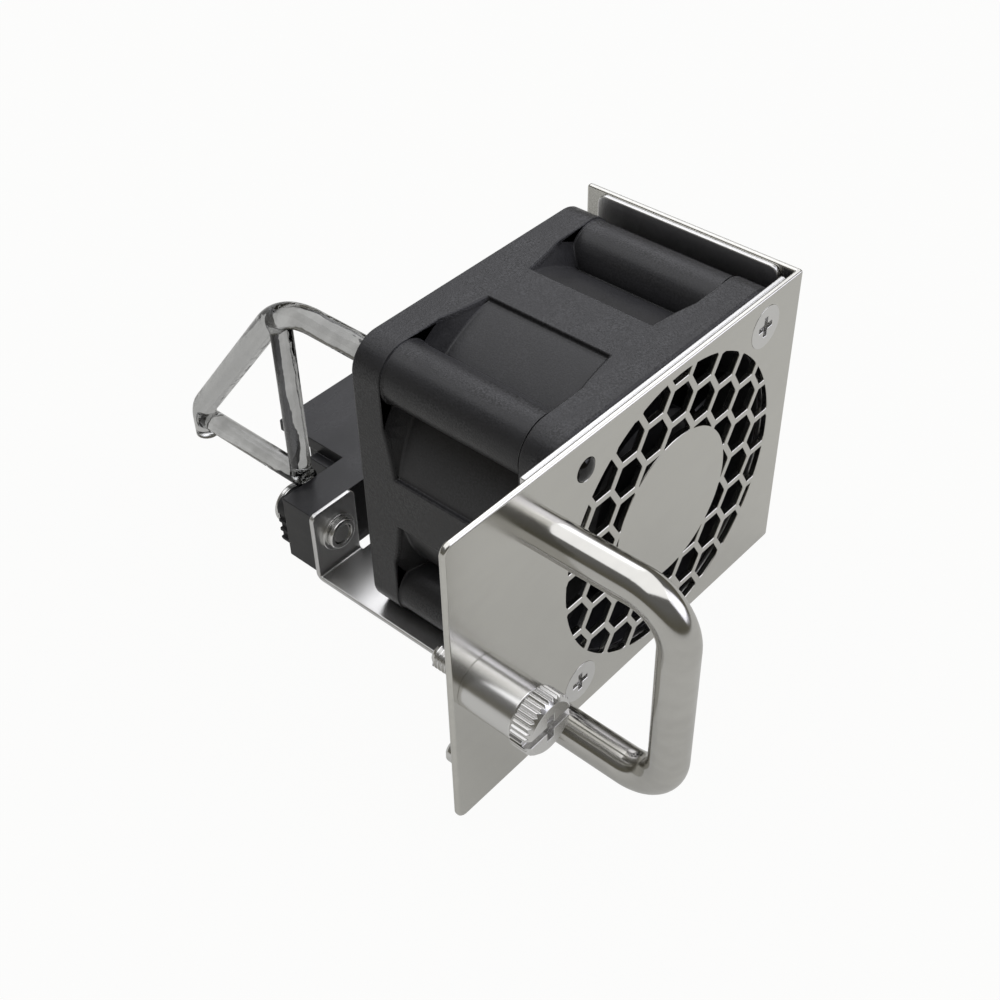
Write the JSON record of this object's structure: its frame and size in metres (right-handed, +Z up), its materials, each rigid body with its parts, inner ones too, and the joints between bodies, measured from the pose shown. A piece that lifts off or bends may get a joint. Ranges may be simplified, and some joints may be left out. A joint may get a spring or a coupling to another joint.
{
  "type": "hot-swappable fan module",
  "caption": "Hot-swap fan module for rack equipment: folded metal faceplate with hexagonal vent, pull handle and captive screw, axial fan on a tray, light pipe and docking connector.",
  "frame": {"origin": "the fan's axis where it meets the faceplate's front surface", "axes": "+X along the faceplate towards the side wall, +Y into the chassis along the fan's axis, +Z up from the tray"},
  "size_m": [0.0599, 0.0861, 0.0408],
  "materials": {
    "nickel_sheet": "satin nickel-plated sheet steel, mirror-like with soft reflections",
    "bright_sheet": "bright plated sheet steel",
    "polished_rod": "polished plated rod",
    "bright_turned": "plated turned steel",
    "dark_screw": "dark zinc screw",
    "spring_steel": "ground steel",
    "clear_plastic": "clear moulded light pipe",
    "fan_plastic": "dark moulded plastic with a fine spark texture",
    "rotor_plastic": "black moulded plastic",
    "magnet": "bonded ferrite",
    "brass_tube": "turned brass",
    "bearing_steel": "ground bearing steel",
    "lamination": "stacked steel laminations",
    "copper_wire": "enamelled copper winding",
    "board": "green circuit board",
    "connector_plastic": "dark smooth moulded housing",
    "contact_metal": "gold-flashed contacts",
    "pad_rubber": "dark ribbed float pad"
  },
  "bodies": {
    "chassis": {"faceplate": "nickel_sheet", "tray": "bright_sheet", "handle": "polished_rod", "handle_screws": "dark_screw", "captive_ferrule": "bright_turned", "key_stud": "bright_turned", "fan_screws": "bright_turned", "light_pipe": "clear_plastic", "fan_frame": "fan_plastic", "bearing_tube": "brass_tube", "bearings": "bearing_steel", "stator_core": "lamination", "windings": "copper_wire", "motor_board": "board", "connector_housing": "connector_plastic", "connector_contacts": "contact_metal", "connector_screws": "bright_turned", "connector_washers": "bright_turned", "clinch_nuts": "bright_turned", "connector_pads": "pad_rubber"},
    "rotor": {"impeller": "rotor_plastic", "shaft": "spring_steel", "rotor_yoke": "spring_steel", "magnet_ring": "magnet", "shaft_clip": "spring_steel", "preload_washer": "spring_steel"},
    "captive_ring": {"captive_retainer": "spring_steel"},
    "captive_screw": {"captive_screw": "bright_turned", "captive_knob": "bright_turned"}
  },
  "joints": [
    {"name": "rotor_spin", "type": "hinge", "parent": "chassis", "child": "rotor", "pos_m": [0, 0.016, 0], "axis": [0, 1, 0], "continuous": true},
    {"name": "captive_slide", "type": "slide", "parent": "chassis", "child": "captive_ring", "axis": [0, -1, 0], "range_m": [0, 0.0049]},
    {"name": "captive_turn", "type": "hinge", "parent": "captive_ring", "child": "captive_screw", "pos_m": [-0.03285, 0, -0.001], "axis": [0, 1, 0], "continuous": true}
  ]
}
